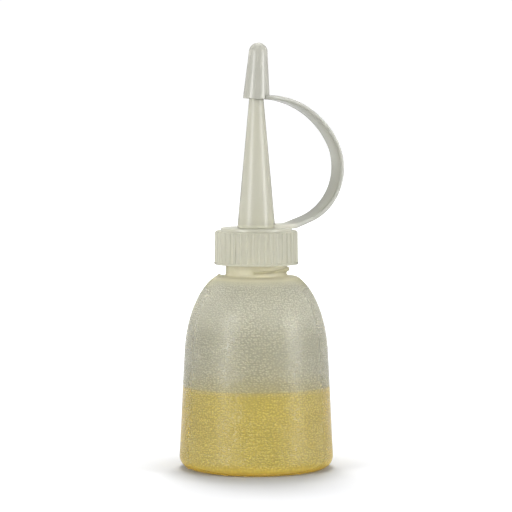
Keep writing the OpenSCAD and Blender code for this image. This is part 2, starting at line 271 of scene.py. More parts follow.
def markGrain(bottle):
    # the pebbled grain covers the outside, from the rounded bottom edge to just under the land
    g = grainSizes
    end = domePoint(bottleSizes["domeSweep"], 0)[1] - g["end"]
    marks = bottle.data.attributes.new("grain", "FLOAT", "POINT")
    skin = bodyOutline(0, 0)
    for vertex, mark in zip(bottle.data.vertices, marks.data):
        p = vertex.co / mm
        radius = math.hypot(p.x, p.y)
        near = min(math.hypot(radius - r, p.z - z) for r, z in skin)
        outside = near < g["depth"] and p.z > g["floor"]
        share = min(1, (p.z - g["start"]) / g["startSoft"], (end - p.z) / g["endSoft"])
        mark.value = max(0, share) if outside else 0


def makeBottle(material, wetMaterial):
    b = bottleSizes
    neck = b["neckDiameter"] / 2
    outside = bodyOutline(0, 0)
    fillet = arc((neck + b["fillet"], landHeight + b["fillet"]), b["fillet"], 270, 180,
                 b["filletSteps"])
    rounding = b["rimOutside"]
    rim = [(neck, neckTop - rounding)]
    rim += arc((neck - rounding, neckTop - rounding), rounding, 0, 90, b["rimSteps"])[1:]
    rounding = b["rimInside"]
    rim += arc((boreRadius + rounding, neckTop - rounding), rounding, 90, 180, b["boreRimSteps"])
    corner = b["boreCorner"]
    inside = bodyOutline(b["wall"], b["floor"])
    inside += [(boreRadius + corner, landEnd(b["wall"], boreRadius + corner)),
               (boreRadius, landEnd(b["wall"], boreRadius) + corner)]
    land = line(outside[-1], fillet[0], b["landSteps"])[:-1]
    outline = outside + land + fillet + rim + inside[::-1]
    bottle = turnOutline(outline, b["segments"])
    t = threadSizes
    ridge = threadRidge(neck, neck + t["depth"], landHeight + t["foot"] / 2 + t["neckRise"], t["neckTurns"],
                        t["start"], t)
    weld(bottle, ridge)
    raiseFlash(bottle)
    markGrain(bottle)
    finishPiece(bottle, "bottle_body", "bottle", ["bottle"], material)
    # the inside below the oil's surface is wetted, so nothing is mirrored there
    o = oilSizes
    bottle.data.materials.append(wetMaterial)
    for face in bottle.data.polygons:
        p = face.center / mm
        inside = face.normal.x * p.x + face.normal.y * p.y < -o["wetInward"] or face.normal.z > o["wetUpward"]
        if inside and p.z < o["level"] + o["climb"]:
            face.material_index = 1
    return bottle


# Oil

oilSizes = {
    "level": 21.3, "climb": 0.5, "climbWidth": 1.2, "climbSteps": 6, "climbPower": 3, "levelSteps": 6,
    "gap": 0.02, "wetInward": 0.1, "wetUpward": 0.3,
}


def makeOil(material):
    b = bottleSizes
    o = oilSizes
    inset = b["wall"] + o["gap"]
    outline = [p for p in bodyOutline(inset, b["floor"] + o["gap"]) if p[1] < o["level"]]
    level = o["level"]
    edge = (wallRadius(level + o["climb"], inset), level + o["climb"])
    outline.append(edge)
    # the surface climbs a little where it wets the wall
    for i in range(1, o["climbSteps"] + 1):
        share = i / o["climbSteps"]
        climb = o["climb"] * (1 - share) ** o["climbPower"]
        outline.append((edge[0] - o["climbWidth"] * share, level + climb))
    outline += line(outline[-1], (0, level), o["levelSteps"])
    oil = turnOutline(outline, b["segments"])
    return finishPiece(oil, "oil_fill", "bottle", ["oil"], material)


# Screw cap and spout

capSizes = {
    "diameter": 22, "flare": 0.25, "height": 8.85, "wall": 1.2, "top": 1.2, "bevel": 0.2, "ribs": 40,
    "ribHeight": 0.3, "ribMargin": 0.1, "collar": 0.55, "collarOut": 0.06, "plugHeight": 1.6, "plugWall": 0.9,
    "plugLead": 0.35, "plugClearance": 0.15, "sealGap": 0.1, "stepsPerRib": 8, "skirtEdge": 0.15,
    "bevelStart": 0.1, "bevelSteps": 4, "collarEdge": 0.06, "ribRun": 0.02, "ribEnd": 0.12, "ribSide": 0.82,
    "ribBand": 0.05, "wallSteps": 6,
}
spoutSizes = {
    "footDiameter": 10.06, "tipDiameter": 2.1, "height": 44.65, "footWall": 1.0, "holeDiameter": 1.1,
    "grooveFoot": 0.1, "lipUnder": 0.08, "lipChamfer": 0.05, "lipEdge": 0.06, "tipEdge": 0.2,
    "edgeSteps": 3, "wallSteps": 24, "boreSteps": 16,
}
capUnder = neckTop + capSizes["sealGap"]
capTop = capUnder + capSizes["top"]
skirtBottom = capTop - capSizes["height"]
spoutTop = capTop + spoutSizes["height"]


def makeScrewCap(material):
    c = capSizes
    s = spoutSizes
    t = tetherSizes
    foot = c["diameter"] / 2 - c["ribHeight"]
    flare = c["flare"] / 2
    inner = foot - c["wall"]
    plug = boreRadius - c["plugClearance"]
    groove = s["footDiameter"] / 2 - t["lip"]
    lipHeight = ringTop + t["lipGap"]
    low = skirtBottom + c["collar"]
    high = capTop - c["ribMargin"] - c["bevel"]
    rim = c["diameter"] / 2 + flare + c["collarOut"]

    def wallAt(z):
        return foot + flare * (capTop - c["bevel"] - z) / (c["height"] - c["bevel"])

    # the skirt, from its lower rim up over the collar to the rounded upper edge
    edge, step, run = c["skirtEdge"], c["collarEdge"], c["ribRun"]
    outline = [(inner, skirtBottom + edge), (inner + edge, skirtBottom), (rim - edge, skirtBottom),
               (rim, skirtBottom + edge), (rim, low - step), (rim - step, low), (wallAt(low) + run, low),
               (wallAt(low + run), low + run)]
    outline += line(outline[-1], (wallAt(high), high), c["wallSteps"])
    rounding = c["bevel"] - c["bevelStart"]
    outline += [(wallAt(high + c["ribEnd"]), high + c["ribEnd"]), (foot, capTop - rounding)]
    outline += arc((foot - rounding, capTop - rounding), rounding, 0, 90, c["bevelSteps"])[1:]
    # the groove that holds the tether ring, the lip over it and the spout
    outline += [(t["ringDiameter"] / 2, capTop), (groove + s["grooveFoot"], capTop),
                (groove, capTop + s["grooveFoot"]), (groove, lipHeight - s["lipUnder"]),
                (groove + s["lipChamfer"], lipHeight)]
    spoutFoot = s["footDiameter"] / 2
    outline += arc((spoutFoot - s["lipEdge"], lipHeight + s["lipEdge"]), s["lipEdge"], -90, 0,
                   s["edgeSteps"])
    tip, rounding = s["tipDiameter"] / 2, s["tipEdge"]
    outline += line(outline[-1], (tip, spoutTop - rounding), s["wallSteps"])
    outline += arc((tip - rounding, spoutTop - rounding), rounding, 0, 90, s["edgeSteps"])[1:]
    # down the bore and round the plug
    hole = s["holeDiameter"] / 2
    bore = line((hole, spoutTop), (spoutFoot - s["footWall"], capUnder), s["boreSteps"])
    outline += [(hole, spoutTop)] + bore
    outline += [(plug - c["plugWall"], capUnder), (plug - c["plugWall"], capUnder - c["plugHeight"]),
                (plug - c["plugLead"], capUnder - c["plugHeight"]),
                (plug, capUnder - c["plugHeight"] + c["plugLead"]), (plug, capUnder), (inner, capUnder),
                (inner, skirtBottom + edge)]
    segments = c["ribs"] * c["stepsPerRib"]
    cap = turnOutline(outline, segments)
    # each rib is pushed out of the wall, a little less at its sides than along its back
    for offset in (0, 1, -1):
        def onRib(p):
            raised = low + tolerance <= p.z <= high + tolerance
            if not raised or not foot - c["ribBand"] < math.hypot(p.x, p.y) < rim:
                return False
            step = round(math.atan2(p.y, p.x) / math.tau * segments)
            return (step - c["stepsPerRib"] // 2 - offset) % c["stepsPerRib"] == 0
        selectVertices(cap, onRib)
        grow = 1 + c["ribHeight"] * (c["ribSide"] if offset else 1) / foot
        bpy.ops.transform.resize(value=(grow, grow, 1), center_override=(0, 0, 0))
        objectMode()
    h = threadSizes
    capCrest = bottleSizes["neckDiameter"] / 2 + h["crestGap"]
    neckCrest = bottleSizes["neckDiameter"] / 2 + h["depth"]

    def halfThread(share):
        return (h["foot"] + (h["crest"] - h["foot"]) * share) / 2

    drop = max(halfThread(h["crestGap"] / h["depth"]), halfThread((inner - neckCrest) / (inner - capCrest)))
    drop += halfThread(1) + h["play"]
    neckStart = landHeight + h["foot"] / 2 + h["neckRise"]
    capStart = skirtBottom + h["foot"] / 2 + h["capRise"]
    angle = h["start"] + 360 * (capStart + drop - neckStart) / h["pitch"]
    ridge = threadRidge(inner, capCrest, capStart, h["capTurns"], angle, h)
    weld(cap, ridge)
    return finishPiece(cap, "screw_cap_spout", "screw_cap", ["screw_cap"], material)


# Tether: ring and strap in one moulding, and the tip cap

tetherSizes = {
    "ringDiameter": 18.8, "ringThickness": 0.8, "ringEdge": 0.3, "lip": 0.33, "clearance": 0.1,
    "thickness": 1.1, "rootWidth": 7.9, "middleWidth": 5.6, "tipWidth": 7.2, "chamfer": 0.15,
    "direction": 24.5, "out": 0.4, "slope": 19.8, "run": 4.9, "lowerTurn": 98.7, "reach": 2,
    "sink": 0.25, "rootReach": 6.6, "rootGap": 0.13, "lipGap": 0.03, "chamferSteps": 3, "bendSteps": 32,
    "hingeIn": 0.9, "hingeOut": 0.3, "hingeLift": 0.02, "hingeTurns": (0.2, 0.8), "runStops": (0.9, 2.2, 3.6),
    "ringChamfer": 0.06, "holeChamfer": 0.04, "segments": 128, "footRoom": 4, "footRise": 1, "tipRoom": 6,
    "tipGap": 0.01, "ringFade": 2.5, "ringTop": 2, "edgeSteps": 5,
}
tipSizes = {
    "rimDiameter": 7.1, "height": 14.85, "taper": 4.95, "rimWall": 0.72, "endThickness": 1.4,
    "boreEnd": 2.4, "tilt": 2.6, "clearance": 0.15, "edge": 0.1, "boreCorner": 0.3,
    "segments": 96, "domeSteps": 20, "sideSteps": 10, "boreSteps": 8,
}
ringTop = capTop + tetherSizes["ringThickness"]


def tipHold():
    k = tipSizes
    bore = k["rimDiameter"] / 2 - k["rimWall"]
    slope = (bore - k["boreEnd"] / 2) / (k["height"] - k["endThickness"])
    room = bore - spoutSizes["tipDiameter"] / 2 - k["clearance"]
    return room / (slope + math.sin(math.radians(k["tilt"])))


tipBase = spoutTop - tipHold()


def tipPlace():
    # from the tip cap's own axis to its place on the spout, leaning towards the strap
    lean = Matrix.Rotation(math.radians(tipSizes["tilt"]), 4, "Y")
    turn = Matrix.Rotation(math.radians(tetherSizes["direction"]), 4, "Z")
    return Matrix.Translation((0, 0, tipBase * mm)) @ turn @ lean


def strapStations():
    # places and headings along the strap's middle line, in the plane of the loop
    t = tetherSizes
    k = tipSizes
    a = math.radians(t["slope"])
    b = math.radians(t["slope"] + t["lowerTurn"])
    c = math.radians(180 - k["tilt"])
    lift = ringTop + t["thickness"] / 2 - t["sink"]
    out = t["ringDiameter"] / 2 + t["out"]
    straight = (out + t["run"] * math.cos(a), lift + t["run"] * math.sin(a))
    endRadius = k["rimDiameter"] / 2 - k["rimWall"] / 2
    tilt = math.radians(k["tilt"])
    end = (endRadius * math.cos(tilt) + t["thickness"] / 2 * math.sin(tilt),
           tipBase - endRadius * math.sin(tilt) + t["thickness"] / 2 * math.cos(tilt))
    lowerU, lowerZ = math.sin(b) - math.sin(a), math.cos(a) - math.cos(b)
    upperU, upperZ = math.sin(c) - math.sin(b), math.cos(b) - math.cos(c)
    runU, runZ = end[0] - straight[0], end[1] - straight[1]
    bend = lowerU * upperZ - upperU * lowerZ
    lower = (runU * upperZ - upperU * runZ) / bend
    upper = (lowerU * runZ - runU * lowerZ) / bend
    lowerCentre = (straight[0] - lower * math.sin(a), straight[1] + lower * math.cos(a))
    upperCentre = (lowerCentre[0] - (upper - lower) * math.sin(b),
                   lowerCentre[1] + (upper - lower) * math.cos(b))
    whole = t["run"] + lower * (b - a) + upper * (c - b)

    def width(length):
        share = 2 * length / whole - 1
        wide = t["rootWidth" if share < 0 else "tipWidth"]
        return t["middleWidth"] + (wide - t["middleWidth"]) * share ** 2

    # the root lies flat over the ring and turns up at its edge
    hinge, rise, turns = t["hingeOut"], t["hingeLift"], t["hingeTurns"]
    stations = [(out - t["rootReach"], lift, 0, t["rootWidth"]),
                (out - t["hingeIn"], lift, 0, t["rootWidth"]),
                (out - hinge, lift + rise, a * turns[0], t["rootWidth"]),
                (out + hinge * math.cos(a), lift + hinge * math.sin(a) + rise, a * turns[1], t["rootWidth"])]
    for s in t["runStops"]:
        stations.append((out + s * math.cos(a), lift + s * math.sin(a), a, width(s)))
    steps = t["bendSteps"]
    for i in range(steps + 1):
        h = a + (b - a) * i / steps
        stations.append((lowerCentre[0] + lower * math.sin(h), lowerCentre[1] - lower * math.cos(h), h,
                         width(t["run"] + lower * (h - a))))
    for i in range(1, steps + 1):
        h = b + (c - b) * i / steps
        stations.append((upperCentre[0] + upper * math.sin(h), upperCentre[1] - upper * math.cos(h), h,
                         width(t["run"] + lower * (b - a) + upper * (h - b))))
    last = stations[-1]
    stations.append((last[0] + t["reach"] * math.cos(c), last[1] + t["reach"] * math.sin(c), c,
                     t["tipWidth"]))
    return stations


def makeStrap():
    # a flat rounded section, extruded from station to station and turned to each heading
    t = tetherSizes
    stations = strapStations()
    clearSelection()
    bpy.ops.mesh.primitive_plane_add(size=mm, location=(0, 0, 0))
    strap = bpy.context.object
    editMode()
    bpy.ops.transform.resize(value=(t["thickness"], t["rootWidth"], 1), center_override=(0, 0, 0))
    bpy.ops.mesh.bevel(offset=t["chamfer"] * mm, segments=t["chamferSteps"], affect="VERTICES")
    # the section stands up, square to the strap's first heading along +X
    bpy.ops.transform.rotate(value=math.pi / 2, orient_axis="Y", center_override=(0, 0, 0))
    first = stations[0]
    bpy.ops.transform.translate(value=(first[0] * mm, 0, first[1] * mm))
    for (u0, z0, h0, w0), (u1, z1, h1, w1) in zip(stations, stations[1:]):
        bpy.ops.mesh.extrude_region_move(
            TRANSFORM_OT_translate={"value": ((u1 - u0) * mm, 0, (z1 - z0) * mm)})
        bpy.ops.transform.rotate(value=h1 - h0, orient_axis="Y", center_override=(u1 * mm, 0, z1 * mm))
        bpy.ops.transform.resize(value=(1, w1 / w0, 1), center_override=(0, 0, 0))
    bpy.ops.mesh.select_all(action="SELECT")
    bpy.ops.mesh.normals_make_consistent(inside=False)
    objectMode()
    strap.data.transform(Matrix.Rotation(math.radians(t["direction"]), 4, "Z"))
    return strap


def makeTether(material):
    t = tetherSizes
    hole = spoutSizes["footDiameter"] / 2 - t["lip"] + t["clearance"]
    outer = t["ringDiameter"] / 2
    outline = [(hole, capTop), (outer - t["ringChamfer"], capTop), (outer, capTop + t["ringChamfer"])]
    outline += arc((outer - t["ringEdge"], ringTop - t["ringEdge"]), t["ringEdge"], 0, 90,
                   t["edgeSteps"])
    outline += [(hole + t["holeChamfer"], ringTop), (hole, ringTop - t["holeChamfer"]), (hole, capTop)]
    ring = turnOutline(outline, t["segments"])
    strap = makeStrap()
    # room for the spout's foot in the root of the strap, and for the tip cap in its far end
    foot = spoutSizes["footDiameter"] / 2 + t["rootGap"]
    footPlace = Matrix.Translation((0, 0, (ringTop + t["footRise"]) * mm))
    cutCylinder(strap, foot, t["footRoom"], t["segments"], footPlace)
    tip = tipSizes["rimDiameter"] / 2 + t["tipGap"]
    cutCylinder(strap, tip, t["tipRoom"], tipSizes["segments"], tipPlace())
    weld(ring, strap)
    # painted light: the thin ring, and the strap where it leaves it, are marked to be painted lighter than
    # the rest of the strap, for the light the ring takes through from the cap under it
    marks = ring.data.attributes.new("ring", "FLOAT", "POINT")
    for vertex, mark in zip(ring.data.vertices, marks.data):
        p = vertex.co / mm
        share = min(1, max(0, (outer - math.hypot(p.x, p.y)) / t["ringFade"] + 1))
        mark.value = share if p.z < ringTop + t["ringTop"] else 0
    finishPiece(ring, "tether_ring_strap", None, ["tether_ring", "strap"], material)
    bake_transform(ring)
    return ring


def makeTipCap(material):
    k = tipSizes
    rim = k["rimDiameter"] / 2
    taper = math.radians(k["taper"])
    centre = (k["height"] - rim * math.cos(taper)) / (1 - math.sin(taper))
    radius = k["height"] - centre
    bore = rim - k["rimWall"]
    boreHeight = k["height"] - k["endThickness"]
    edge, corner = k["edge"], k["boreCorner"]
    outline = [(bore, edge), (bore + edge, 0), (rim - edge, 0), (rim, edge)]
    side = arc((0, centre), radius, k["taper"], 90, k["domeSteps"])
    outline += line((rim, edge), side[0], k["sideSteps"]) + side[1:-1] + [(0, k["height"])]
    shoulder = (k["boreEnd"] / 2, boreHeight - corner)
    outline += [(0, boreHeight), (shoulder[0] - corner, boreHeight), shoulder]
    outline += line(shoulder, (bore, edge), k["boreSteps"])
    cap = turnOutline(outline, k["segments"])
    cap.data.transform(tipPlace())
    return finishPiece(cap, "tip_cap_cone", "tip_cap", ["tip_cap"], material)


# Materials

def newMaterial(name):
    material = bpy.data.materials.new(name)
    material.use_nodes = True
    material.node_tree.nodes.clear()
    return material, material.node_tree


def addNode(tree, kind, place=(0, 0), **values):
    node = tree.nodes.new(kind)
    node.location = place
    for key, value in values.items():
        if hasattr(node, key):
            setattr(node, key, value)
        else:
            node.inputs[key].default_value = value
    return node


def newGroup(name, inputs, outputs):
    group = bpy.data.node_groups.new(name, "ShaderNodeTree")
    for label, kind, value in inputs:
        group.interface.new_socket(name=label, in_out="INPUT", socket_type=kind).default_value = value
    for label, kind in outputs:
        group.interface.new_socket(name=label, in_out="OUTPUT", socket_type=kind)
    return group, addNode(group, "NodeGroupInput", (-900, 0)), addNode(group, "NodeGroupOutput", (900, 0))


def feed(tree, sockets, values):
    # links each socket to its value where that is another node's output, and else sets it
    for socket, value in zip(sockets, values):
        if hasattr(value, "is_output"):
            tree.links.new(value, socket)
        else:
            socket.default_value = value


def mapRange(tree, source, low, high, toLow, toHigh, place=(0, 0)):
    node = addNode(tree, "ShaderNodeMapRange", place, interpolation_type="SMOOTHSTEP")
    for socket, value in zip(node.inputs[1:5], (low, high, toLow, toHigh)):
        socket.default_value = value
    tree.links.new(source, node.inputs[0])
    return node.outputs[0]


def math2(tree, operation, a, b, place=(0, 0)):
    node = addNode(tree, "ShaderNodeMath", place, operation=operation)
    feed(tree, node.inputs, (a, b))
    return node.outputs[0]


def mixColors(tree, factor, a, b, place=(0, 0)):
    node = addNode(tree, "ShaderNodeMix", place, data_type="RGBA")
    a, b = ((*color, 1) if isinstance(color, tuple) else color for color in (a, b))
    feed(tree, (node.inputs[0], *node.inputs[6:8]), (factor, a, b))
    return node.outputs[2]


def scaleColor(tree, color, factor, place=(0, 0)):
    node = addNode(tree, "ShaderNodeVectorMath", place, operation="SCALE")
    feed(tree, (node.inputs[0], node.inputs["Scale"]), (color, factor))
    return node.outputs[0]


def multiplyColors(tree, a, b, place=(0, 0)):
    node = addNode(tree, "ShaderNodeVectorMath", place, operation="MULTIPLY")
    feed(tree, node.inputs, (a, b))
    return node.outputs[0]


def combine(tree, x, y, z=0.0, place=(0, 0)):
    node = addNode(tree, "ShaderNodeCombineXYZ", place)
    feed(tree, node.inputs, (x, y, z))
    return node.outputs[0]


# lengths in metres, scales in cells to the metre; pairs and fours are the ends of a mapping
mouldSizes = {
    "unrollRadius": 0.0205, "lengthen": 1.4, "wander": {"Scale": 520, "Detail": 1}, "wanderShare": 0.0006,
    "cells": {"Scale": 1250, "Randomness": 0.8, "Smoothness": 0.25}, "pebble": (0.05, 0.65, 1, 0),
    "rows": {"Scale": 385, "Distortion": 6.5, "Detail": 1, "Detail Scale": 1.6},
    "wave": {"Scale": 115, "Detail": 1, "Roughness": 0.4}, "waveDepth": 0.0012, "grainDepth": 0.0002,
    "cloud": {"Scale": 45, "Detail": 1, "Roughness": 0.4}, "level": (0.1, 0.75, 0.55, 1.1),
    "patch": (0.35, 0.62, 0.62, 1), "parting": (0.00006, 0.00018, 0.9, 0),
}


def makeMouldGroup():
    # surface of blown or moulded polyethylene: pebbles in soft level rows, slow waves, clouds
    m = mouldSizes
    inputs = [("Grain", "NodeSocketFloat", 0), ("Waves", "NodeSocketFloat", 1)]
    outputs = [("Normal", "NodeSocketVector"), ("Speck", "NodeSocketFloat"), ("Cloud", "NodeSocketFloat")]
    group, start, end = newGroup("mouldSurface", inputs, outputs)
    link = group.links.new
    place = addNode(group, "ShaderNodeTexCoord", (-1700, 0)).outputs["Object"]
    split = addNode(group, "ShaderNodeSeparateXYZ", (-1500, 200))
    link(place, split.inputs[0])
    x, y, z = split.outputs
    # the skin is unrolled round the axis; both halves of the mould start at the parting line
    turn = math2(group, "ABSOLUTE", math2(group, "ARCTAN2", y, x, (-1300, 300)), 0, (-1150, 300))
    across = math2(group, "MULTIPLY", turn, m["unrollRadius"], (-1000, 300))
    squares = math2(group, "ADD", math2(group, "MULTIPLY", x, x), math2(group, "MULTIPLY", y, y))
    along = math2(group, "SUBTRACT", z, math2(group, "SQRT", squares, 0), (-1000, 100))
    stretched = math2(group, "MULTIPLY", along, m["lengthen"], (-850, 100))
    flat = combine(group, across, stretched, 0.0, (-700, 200))
    # the rows wander: the place is shifted by a slow noise before the cells are laid
    wander = addNode(group, "ShaderNodeTexNoise", (-700, -100), **m["wander"])
    shift = addNode(group, "ShaderNodeMix", (-500, 100), data_type="VECTOR")
    shift.inputs[0].default_value = m["wanderShare"]
    link(place, wander.inputs["Vector"])
    link(flat, shift.inputs[4])
    link(wander.outputs["Color"], shift.inputs[5])
    cells = addNode(group, "ShaderNodeTexVoronoi", (-300, 200), voronoi_dimensions="2D", feature="SMOOTH_F1",
                    **m["cells"])
    link(shift.outputs[1], cells.inputs["Vector"])
    wave = addNode(group, "ShaderNodeTexNoise", (-500, -400), **m["wave"])
    slow = addNode(group, "ShaderNodeTexNoise", (-500, -700), **m["cloud"])
    link(place, wave.inputs["Vector"])
    link(place, slow.inputs["Vector"])
    pebble = mapRange(group, cells.outputs["Distance"], *m["pebble"], (-50, 200))
    # broken level rows, 0.8 mm apart, lie over the pebbles
    rows = addNode(group, "ShaderNodeTexWave", (-300, 500), bands_direction="Z", **m["rows"])
    link(combine(group, x, y, along, (-500, 500)), rows.inputs["Vector"])
    level = mapRange(group, rows.outputs["Fac"], *m["level"], (-50, 400))
    pebble = math2(group, "MULTIPLY", pebble, level, (60, 300))
    patch = mapRange(group, wave.outputs[0], *m["patch"], (-50, -100))
    # a faint raised line runs up both sides, where the halves of the mould met
    parting = mapRange(group, math2(group, "ABSOLUTE", y, 0), *m["parting"], (-50, -600))
    speck = math2(group, "MAXIMUM", math2(group, "MULTIPLY", pebble, patch, (120, 100)), parting, (250, 100))
    grain = addNode(group, "ShaderNodeBump", (500, 100), Distance=m["grainDepth"])
    link(speck, grain.inputs["Height"])
    link(start.outputs["Grain"], grain.inputs["Strength"])
    waves = addNode(group, "ShaderNodeBump", (300, -300), Distance=m["waveDepth"])
    link(wave.outputs[0], waves.inputs["Height"])
    link(start.outputs["Waves"], waves.inputs["Strength"])
    link(waves.outputs[0], grain.inputs["Normal"])
    link(grain.outputs[0], end.inputs["Normal"])
    link(speck, end.inputs["Speck"])
    link(slow.outputs[0], end.inputs["Cloud"])
    return group


mouldSurface = makeMouldGroup()


def tintBands(tree, color, height, bands, key):
    # washes a colour over the base between two heights, one band after another
    for band in bands:
        low, high, soft = band["low"] * mm, band["high"] * mm, band["soft"] * mm
        up = mapRange(tree, height, low - soft, low + soft, 0, 1)
        down = mapRange(tree, height, high - soft, high + soft, 1, 0)
        color = mixColors(tree, math2(tree, "MULTIPLY", up, down), color, band[key])
    return color


plasticSizes = {
    "ior": 1.51, "coatRoughness": 0.42, "cloud": (0.3, 0.7, 0, 1), "clearCloud": 0.965, "hazeCloud": 0.95,
    "upright": (0.75, 0.95, 1, 0), "outline": (0.5, 0.7), "pebbleTop": (0.55, 1), "shine": (0.2, 0.9),
    "outlineShine": (0.4, 0.75, 1, 0.25),
}


def makePlastic(name, sizes):
    # clear part, hazy part that lets light through, and a skin that scatters it back
    s = plasticSizes
    material, tree = newMaterial(name)
    link = tree.links.new
    out = addNode(tree, "ShaderNodeOutputMaterial", (900, 0))
    surface = addNode(tree, "ShaderNodeGroup", (-700, -200), node_tree=mouldSurface, Waves=sizes["waves"])
    tone = mapRange(tree, surface.outputs["Cloud"], *s["cloud"], (-450, 200))
    clear, haze = sizes["clear"], sizes["haze"]
    clear = mixColors(tree, tone, clear, tuple(v * s["clearCloud"] for v in clear), (-200, 300))
    haze = mixColors(tree, tone, haze, tuple(v * s["hazeCloud"] for v in haze), (-200, 0))
    place = addNode(tree, "ShaderNodeTexCoord", (-1100, 400))
    split = addNode(tree, "ShaderNodeSeparateXYZ", (-900, 400))
    link(place.outputs["Object"], split.inputs[0])
    height = split.outputs[2]
    clear = tintBands(tree, clear, height, sizes["bands"], "clear")
    haze = tintBands(tree, haze, height, sizes["bands"], "haze")
    # painted light: where the ring mark is, the colours turn to the ring's lighter ones
    if "ring" in sizes:
        ring = addNode(tree, "ShaderNodeAttribute", (-900, 700), attribute_name="ring").outputs["Fac"]
        clear = mixColors(tree, ring, clear, sizes["ring"]["clear"])
        haze = mixColors(tree, ring, haze, sizes["ring"]["haze"])
    # painted shade: the base colours are darkened along the outline of an upright wall, where one looks along
    # it, and painted a deeper gold there in the oil's band
    facing = addNode(tree, "ShaderNodeLayerWeight", (-450, -500), Blend=0.5).outputs["Facing"]
    slope = addNode(tree, "ShaderNodeSeparateXYZ", (-900, -700))
    link(place.outputs["Normal"], slope.inputs[0])
    upright = mapRange(tree, math2(tree, "ABSOLUTE", slope.outputs[2], 0), *s["upright"], (-450, -700))
    edge = mapRange(tree, facing, sizes["rimStart"], sizes["rimEnd"], 0, 1, (-250, -500))
    tint = tintBands(tree, sizes["rim"], height, [b for b in sizes["bands"] if "rim" in b], "rim")
    rim = mixColors(tree, math2(tree, "MULTIPLY", edge, upright, (-100, -600)), (1, 1, 1), tint, (50, -600))
    haze = multiplyColors(tree, haze, rim, (0, 0))
    clear = multiplyColors(tree, clear, rim, (0, 300))
    glass = addNode(tree, "ShaderNodeBsdfPrincipled", (150, 400), Metallic=0, IOR=s["ior"],
                    Roughness=sizes["clearRoughness"], **{"Transmission Weight": 1})
    skin = addNode(tree, "ShaderNodeBsdfPrincipled", (150, 0), IOR=s["ior"], Roughness=sizes["skinRoughness"],
                   **{"Specular IOR Level": sizes["gloss"]})
    through = addNode(tree, "ShaderNodeBsdfTranslucent", (150, -400))
    if "grain" in sizes:
        mark = addNode(tree, "ShaderNodeAttribute", (-900, 100), attribute_name="grain").outputs["Fac"]
        speck = surface.outputs["Speck"]
        link(math2(tree, "MULTIPLY", mark, sizes["grain"], (-700, 100)), surface.inputs["Grain"])
        # light gathers on the pebbles and leaves the furrows between them darker
        level = mapRange(tree, speck, 0, 1, 1 - sizes["furrow"], 1 + sizes["furrow"])
        shade = addNode(tree, "ShaderNodeMix", (-300, 500))
        feed(tree, (shade.inputs[0], *shade.inputs[2:4]), (mark, 1, level))
        haze = scaleColor(tree, haze, shade.outputs[0], (-100, 500))
        clear = scaleColor(tree, clear, shade.outputs[0], (-100, 700))
        # painted highlight: the tops of the pebbles are painted paler
        top = mapRange(tree, speck, *s["pebbleTop"], 0, sizes["paintedGleam"], (-300, 900))
        paintedGleam = math2(tree, "MULTIPLY", top, mark, (-100, 900))
        haze = mixColors(tree, paintedGleam, haze, sizes["gleamColor"], (50, 500))
        clear = mixColors(tree, paintedGleam, clear, sizes["gleamColor"], (50, 700))
        # they catch the broad soft reflections too, and the furrows and the outline hardly do
        shine = mapRange(tree, speck, *s["shine"], *sizes["coat"], (-100, -900))
        sheen = math2(tree, "MULTIPLY", shine, mark, (50, -900))
        sheen = math2(tree, "MULTIPLY", sheen, mapRange(tree, facing, *s["outlineShine"]), (100, -900))
        for shader in (skin, glass):
            shader.inputs["Coat Roughness"].default_value = s["coatRoughness"]
            link(sheen, shader.inputs["Coat Weight"])
    if "matt" in sizes:
        # glossier or rougher from one height to the next
        m = sizes["matt"]
        for shader in (skin, glass):
            plain = shader.inputs["Roughness"].default_value
            below, above = m.get("below", plain), m.get("above", plain)
            gloss = mapRange(tree, height, m["start"] * mm, m["end"] * mm, below, above)
            if shader == glass and "edgeRoughness" in sizes:
                # the wall's own thickness shows along its outline, where it is seen edge on
                edgeOn = mapRange(tree, facing, *s["outline"], plain, sizes["edgeRoughness"])
                link(edgeOn, gloss.node.inputs[3])
            link(gloss, shader.inputs["Roughness"])
    colors = (glass.inputs["Base Color"], skin.inputs["Base Color"], through.inputs["Color"])
    feed(tree, colors, (clear, haze, haze))
    for shader in (glass, skin, through):
        link(surface.outputs["Normal"], shader.inputs["Normal"])
    milky = addNode(tree, "ShaderNodeMixShader", (450, -200), Fac=sizes["through"])
    feed(tree, milky.inputs[1:3], (skin.outputs[0], through.outputs[0]))
    whole = addNode(tree, "ShaderNodeMixShader", (700, 0), Fac=sizes["clearShare"])
    feed(tree, whole.inputs[1:3], (milky.outputs[0], glass.outputs[0]))
    link(whole.outputs[0], out.inputs[0])
    return material


def makeOilMaterial(sizes):
    # deep gold that turns to orange where the layer thickens round the bottom edge
    material, tree = newMaterial("goldenOil")
    out = addNode(tree, "ShaderNodeOutputMaterial", (900, 0))
    oil = addNode(tree, "ShaderNodeBsdfPrincipled", (400, 0), Metallic=0, IOR=sizes["ior"],
                  Roughness=sizes["roughness"], **{"Transmission Weight": 1})
    height = addNode(tree, "ShaderNodeSeparateXYZ", (-500, 0))
    tree.links.new(addNode(tree, "ShaderNodeTexCoord", (-700, 0)).outputs["Object"], height.inputs[0])
    low = mapRange(tree, height.outputs[2], sizes["edgeLow"] * mm, sizes["edgeHigh"] * mm, 1, 0, (-250, 0))
    tree.links.new(mixColors(tree, low, sizes["gold"], sizes["edge"], (100, 0)), oil.inputs["Base Color"])
    tree.links.new(oil.outputs[0], out.inputs[0])
    return material


def makeWetMaterial(color):
    # the wall's inside under the oil: light passes straight from the wall into the oil
    material, tree = newMaterial("wetSkin")
    out = addNode(tree, "ShaderNodeOutputMaterial", (300, 0))
    clear = addNode(tree, "ShaderNodeBsdfTransparent", (0, 0), Color=(*color, 1))
    tree.links.new(clear.outputs[0], out.inputs[0])
    return material
